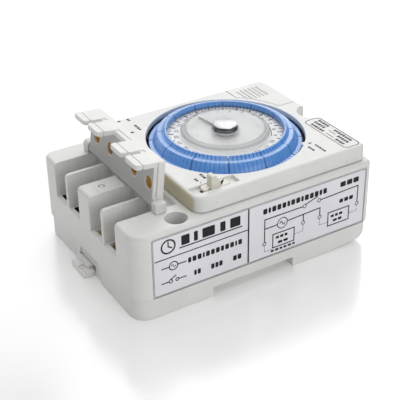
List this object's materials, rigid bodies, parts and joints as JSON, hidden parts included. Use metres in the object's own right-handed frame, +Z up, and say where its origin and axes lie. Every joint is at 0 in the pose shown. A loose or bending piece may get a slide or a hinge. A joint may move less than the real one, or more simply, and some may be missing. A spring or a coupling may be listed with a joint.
{
  "type": "programmable timer",
  "caption": "Mechanical day timer for rail or wall mounting: blue setting pins round a dial, hinged terminal cover over wire clamps, override slide, battery door and rail latch.",
  "frame": {"origin": "centre of the overall footprint, on the plane the case stands on", "axes": "+X from the wire terminals to the far end, -Y towards the labelled side, +Z up out of the dial"},
  "size_m": [0.1084, 0.075, 0.0555],
  "materials": {
    "case_white": "satin moulded",
    "cover_white": "satin moulded",
    "ivory": "satin moulded",
    "latch_white": "moulded",
    "steel": "zinc plated",
    "pin_blue": "glossy moulded",
    "dial_white": "printed",
    "clear": "clear polished",
    "black": "matt",
    "chrome": "polished",
    "brass": "satin",
    "copper": "rolled",
    "phenolic": "moulded",
    "board_green": "solder resist",
    "cell_green": "shrink sleeve",
    "label_silver": "printed foil"
  },
  "bodies": {
    "root": {"rear_cover": "case_white", "housing": "case_white", "front_cover": "case_white", "nameplate": "label_silver", "case_screw_1": "steel", "case_screw_2": "steel", "terminal_plate_1": "brass", "terminal_plate_2": "brass", "terminal_plate_3": "brass", "terminal_plate_4": "brass", "hinge_bracket_near": "cover_white", "hinge_bracket_far": "cover_white", "latch_spring": "steel", "movement_plate": "steel", "bearing_plate": "steel", "motor_case": "steel", "switch_base": "phenolic", "fixed_contact": "copper", "circuit_board": "board_green", "capacitor": "black", "supply_coil": "phenolic", "bus_link": "copper", "battery_cell": "cell_green", "battery_contact": "steel"},
    "terminal_cover": {"terminal_cover": "cover_white"},
    "battery_door": {"battery_door": "case_white"},
    "rail_latch": {"rail_latch": "latch_white"},
    "override": {"override_slider": "ivory"},
    "clamp_1": {"wire_clamp_1": "steel"},
    "screw_1": {"terminal_screw_1": "steel"},
    "clamp_2": {"wire_clamp_2": "steel"},
    "screw_2": {"terminal_screw_2": "steel"},
    "clamp_3": {"wire_clamp_3": "steel"},
    "screw_3": {"terminal_screw_3": "steel"},
    "clamp_4": {"wire_clamp_4": "steel"},
    "screw_4": {"terminal_screw_4": "steel"},
    "dial": {"dial_carrier": "pin_blue", "dial_face": "dial_white", "dial_gear": "brass"},
    "pins_01": {"setting_pins_01": "pin_blue"},
    "pins_02": {"setting_pins_02": "pin_blue"},
    "pins_03": {"setting_pins_03": "pin_blue"},
    "pins_04": {"setting_pins_04": "pin_blue"},
    "pins_05": {"setting_pins_05": "pin_blue"},
    "pins_06": {"setting_pins_06": "pin_blue"},
    "pins_07": {"setting_pins_07": "pin_blue"},
    "pins_08": {"setting_pins_08": "pin_blue"},
    "pins_09": {"setting_pins_09": "pin_blue"},
    "pins_10": {"setting_pins_10": "pin_blue"},
    "pins_11": {"setting_pins_11": "pin_blue"},
    "pins_12": {"setting_pins_12": "pin_blue"},
    "centre": {"centre_arbor": "brass", "centre_knob": "chrome", "minute_disc": "clear", "minute_hand": "black"},
    "idler": {"idler_gear": "brass"},
    "motor_pinion": {"motor_pinion": "steel"},
    "trip_lever": {"trip_lever": "ivory"},
    "contact_arm": {"contact_arm": "copper"}
  },
  "joints": [
    {"name": "cover_hinge", "type": "hinge", "parent": "root", "child": "terminal_cover", "pos_m": [-0.03375, 0.0017, 0.0383], "axis": [0, 1, 0], "range_deg": [-96, 0]},
    {"name": "door_slide", "type": "slide", "parent": "root", "child": "battery_door", "axis": [1, 0, 0], "range_m": [0, 0.012]},
    {"name": "latch_slide", "type": "slide", "parent": "root", "child": "rail_latch", "axis": [-1, 0, 0], "range_m": [0, 0.004], "stiffness_N_per_m": 60, "springref_m": -0.003, "deforming": ["latch_spring"]},
    {"name": "override_slide", "type": "slide", "parent": "root", "child": "override", "axis": [1, 0, 0], "range_m": [-0.0032, 0.0032]},
    {"name": "clamp_lift_1", "type": "slide", "parent": "root", "child": "clamp_1", "axis": [0, 0, 1], "range_m": [0, 0.0028]},
    {"name": "screw_turn_1", "type": "hinge", "parent": "clamp_1", "child": "screw_1", "pos_m": [-0.04075, 0.02215, 0.0219], "axis": [0, 0, 1], "range_deg": [0, 1440.5]},
    {"name": "clamp_lift_2", "type": "slide", "parent": "root", "child": "clamp_2", "axis": [0, 0, 1], "range_m": [0, 0.0028]},
    {"name": "screw_turn_2", "type": "hinge", "parent": "clamp_2", "child": "screw_2", "pos_m": [-0.04075, 0.01105, 0.0219], "axis": [0, 0, 1], "range_deg": [0, 1440.5]},
    {"name": "clamp_lift_3", "type": "slide", "parent": "root", "child": "clamp_3", "axis": [0, 0, 1], "range_m": [0, 0.0028]},
    {"name": "screw_turn_3", "type": "hinge", "parent": "clamp_3", "child": "screw_3", "pos_m": [-0.04075, -0.00765, 0.0219], "axis": [0, 0, 1], "range_deg": [0, 1440.5]},
    {"name": "clamp_lift_4", "type": "slide", "parent": "root", "child": "clamp_4", "axis": [0, 0, 1], "range_m": [0, 0.0028]},
    {"name": "screw_turn_4", "type": "hinge", "parent": "clamp_4", "child": "screw_4", "pos_m": [-0.04075, -0.01875, 0.0219], "axis": [0, 0, 1], "range_deg": [0, 1440.5]},
    {"name": "dial_turn", "type": "hinge", "parent": "root", "child": "dial", "pos_m": [0.01125, 0.001, 0.042], "axis": [0, 0, 1], "continuous": true},
    {"name": "pins_01_slide", "type": "slide", "parent": "dial", "child": "pins_01", "axis": [-0.9659, -0.2588, 0], "range_m": [0, 0.0008]},
    {"name": "pins_02_slide", "type": "slide", "parent": "dial", "child": "pins_02", "axis": [-0.7071, -0.7071, 0], "range_m": [0, 0.0008]},
    {"name": "pins_03_slide", "type": "slide", "parent": "dial", "child": "pins_03", "axis": [-0.2588, -0.9659, 0], "range_m": [0, 0.0008]},
    {"name": "pins_04_slide", "type": "slide", "parent": "dial", "child": "pins_04", "axis": [0.2588, -0.9659, 0], "range_m": [0, 0.0008]},
    {"name": "pins_05_slide", "type": "slide", "parent": "dial", "child": "pins_05", "axis": [0.7071, -0.7071, 0], "range_m": [0, 0.0008]},
    {"name": "pins_06_slide", "type": "slide", "parent": "dial", "child": "pins_06", "axis": [0.9659, -0.2588, 0], "range_m": [0, 0.0008]},
    {"name": "pins_07_slide", "type": "slide", "parent": "dial", "child": "pins_07", "axis": [0.9659, 0.2588, 0], "range_m": [0, 0.0008]},
    {"name": "pins_08_slide", "type": "slide", "parent": "dial", "child": "pins_08", "axis": [0.7071, 0.7071, 0], "range_m": [0, 0.0008]},
    {"name": "pins_09_slide", "type": "slide", "parent": "dial", "child": "pins_09", "axis": [0.2588, 0.9659, 0], "range_m": [0, 0.0008]},
    {"name": "pins_10_slide", "type": "slide", "parent": "dial", "child": "pins_10", "axis": [-0.2588, 0.9659, 0], "range_m": [0, 0.0008]},
    {"name": "pins_11_slide", "type": "slide", "parent": "dial", "child": "pins_11", "axis": [-0.7071, 0.7071, 0], "range_m": [0, 0.0008]},
    {"name": "pins_12_slide", "type": "slide", "parent": "dial", "child": "pins_12", "axis": [-0.9659, 0.2588, 0], "range_m": [0, 0.0008]},
    {"name": "centre_turn", "type": "hinge", "parent": "root", "child": "centre", "pos_m": [0.01125, 0.001, 0.045], "axis": [0, 0, 1], "continuous": true},
    {"name": "idler_turn", "type": "hinge", "parent": "root", "child": "idler", "pos_m": [0.01125, 0.015, 0.032], "axis": [0, 0, 1], "continuous": true},
    {"name": "motor_turn", "type": "hinge", "parent": "root", "child": "motor_pinion", "pos_m": [0.02337, -0.006, 0.028], "axis": [0, 0, 1], "continuous": true},
    {"name": "trip_swing", "type": "hinge", "parent": "root", "child": "trip_lever", "pos_m": [-0.01925, -0.0225, 0.036], "axis": [0, 0, 1], "range_deg": [-2, 0], "stiffness_Nm_per_rad": 0.0008},
    {"name": "contact_swing", "type": "hinge", "parent": "root", "child": "contact_arm", "pos_m": [-0.01975, -0.0284, 0.029], "axis": [0, 0, 1], "range_deg": [-2.2, 0]}
  ],
  "couplings": [
    {"joint": "screw_turn_1", "follows": "clamp_lift_1", "rad_per_m": 8976},
    {"joint": "screw_turn_2", "follows": "clamp_lift_2", "rad_per_m": 8976},
    {"joint": "screw_turn_3", "follows": "clamp_lift_3", "rad_per_m": 8976},
    {"joint": "screw_turn_4", "follows": "clamp_lift_4", "rad_per_m": 8976},
    {"joint": "centre_turn", "follows": "dial_turn", "ratio": 24},
    {"joint": "idler_turn", "follows": "dial_turn", "ratio": -6},
    {"joint": "motor_turn", "follows": "dial_turn", "ratio": -144},
    {"joint": "contact_swing", "follows": "trip_swing", "ratio": 1}
  ]
}
